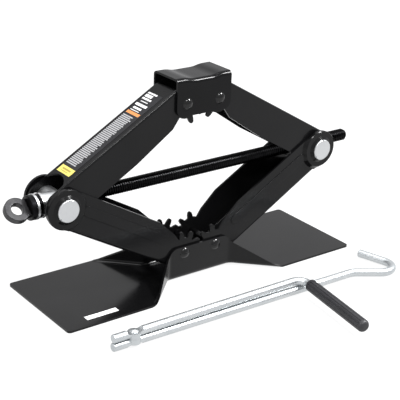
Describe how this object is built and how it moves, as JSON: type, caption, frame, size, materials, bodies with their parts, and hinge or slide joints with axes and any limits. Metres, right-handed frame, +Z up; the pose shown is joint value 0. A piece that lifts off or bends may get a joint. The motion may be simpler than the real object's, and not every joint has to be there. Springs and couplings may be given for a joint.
{
  "type": "scissor stabilizer jack",
  "caption": "Scissor jack: bow-tie base, four geared channel arms, hollowed saddle, lead screw with drive eye, and a folding hook crank with a grip.",
  "frame": {"origin": "on the ground under the middle of the base, half way between the two base pins", "axes": "+X along the lead screw from the drive eye to the nut end, +Y to the back (the crank lies on the -Y side), +Z up"},
  "size_m": [0.4795, 0.3138, 0.2406],
  "materials": {
    "black_paint": "satin",
    "black_oxide": "satin",
    "zinc": "satin",
    "bearing_steel": "polished",
    "black_grip": "matte",
    "label": "matte"
  },
  "bodies": {
    "base": {"base_plate": "black_paint", "base_rivet_left": "black_paint", "base_rivet_right": "black_paint", "base_label": "label"},
    "lower_left": {"lower_left_arm": "black_paint"},
    "lower_right": {"lower_right_arm": "black_paint"},
    "upper_left": {"upper_left_arm": "black_paint", "arm_label": "label"},
    "upper_right": {"upper_right_arm": "black_paint"},
    "saddle": {"saddle": "black_paint", "saddle_rivet_left": "black_paint", "saddle_rivet_right": "black_paint"},
    "thrust_block": {"thrust_trunnion": "zinc", "thrust_sleeve": "zinc", "inner_race": "zinc", "bearing_cage": "black_oxide", "bearing_balls": "bearing_steel"},
    "nut_block": {"nut_trunnion": "zinc"},
    "screw": {"lead_screw": "black_oxide", "drive_eye": "black_oxide", "eye_cross_pin": "black_oxide", "retaining_ring": "black_oxide", "outer_race": "black_oxide"},
    "hook": {"hook_rod": "zinc", "crank_rivet": "zinc"},
    "crank": {"crank_arm": "zinc"},
    "grip": {"grip_sleeve": "black_grip"}
  },
  "joints": [
    {"name": "fold", "type": "hinge", "parent": "base", "child": "lower_left", "pos_m": [-0.02225, 0, 0.032], "axis": [0, 1, 0], "range_deg": [-22.65, 36.85]},
    {"name": "lower_right_fold", "type": "hinge", "parent": "base", "child": "lower_right", "pos_m": [0.02225, 0, 0.032], "axis": [0, -1, 0], "range_deg": [-22.65, 36.85]},
    {"name": "thrust_block_level", "type": "hinge", "parent": "lower_left", "child": "thrust_block", "pos_m": [-0.17837, 0, 0.12159], "axis": [0, -1, 0], "range_deg": [-22.65, 36.85]},
    {"name": "upper_left_fold", "type": "hinge", "parent": "lower_left", "child": "upper_left", "pos_m": [-0.17837, 0, 0.12159], "axis": [0, -1, 0], "range_deg": [-45.3, 73.7]},
    {"name": "saddle_level", "type": "hinge", "parent": "upper_left", "child": "saddle", "pos_m": [-0.02225, 0, 0.21118], "axis": [0, 1, 0], "range_deg": [-22.65, 36.85]},
    {"name": "upper_right_fold", "type": "hinge", "parent": "lower_right", "child": "upper_right", "pos_m": [0.17837, 0, 0.12159], "axis": [0, 1, 0], "range_deg": [-45.3, 73.7]},
    {"name": "nut_block_level", "type": "hinge", "parent": "lower_right", "child": "nut_block", "pos_m": [0.17837, 0, 0.12159], "axis": [0, 1, 0], "range_deg": [-22.65, 36.85]},
    {"name": "screw_spin", "type": "hinge", "parent": "thrust_block", "child": "screw", "pos_m": [-0.17837, 0, 0.12159], "axis": [1, 0, 0], "continuous": true},
    {"name": "crank_lift", "type": "slide", "parent": "base", "child": "hook", "axis": [0, 0, 1], "range_m": [0, 0.15]},
    {"name": "crank_unfold", "type": "hinge", "parent": "hook", "child": "crank", "pos_m": [-0.1568, -0.1226, 0.01465], "axis": [0, 0, -1], "range_deg": [0, 90]},
    {"name": "grip_spin", "type": "hinge", "parent": "crank", "child": "grip", "pos_m": [0.06175, -0.19407, 0.01465], "axis": [-0.1616, -0.9869, 0], "continuous": true}
  ],
  "couplings": [
    {"joint": "lower_right_fold", "follows": "fold", "ratio": 1},
    {"joint": "thrust_block_level", "follows": "fold", "ratio": 1},
    {"joint": "upper_left_fold", "follows": "fold", "ratio": 2},
    {"joint": "saddle_level", "follows": "fold", "ratio": 1},
    {"joint": "upper_right_fold", "follows": "fold", "ratio": 2},
    {"joint": "nut_block_level", "follows": "fold", "ratio": 1}
  ]
}
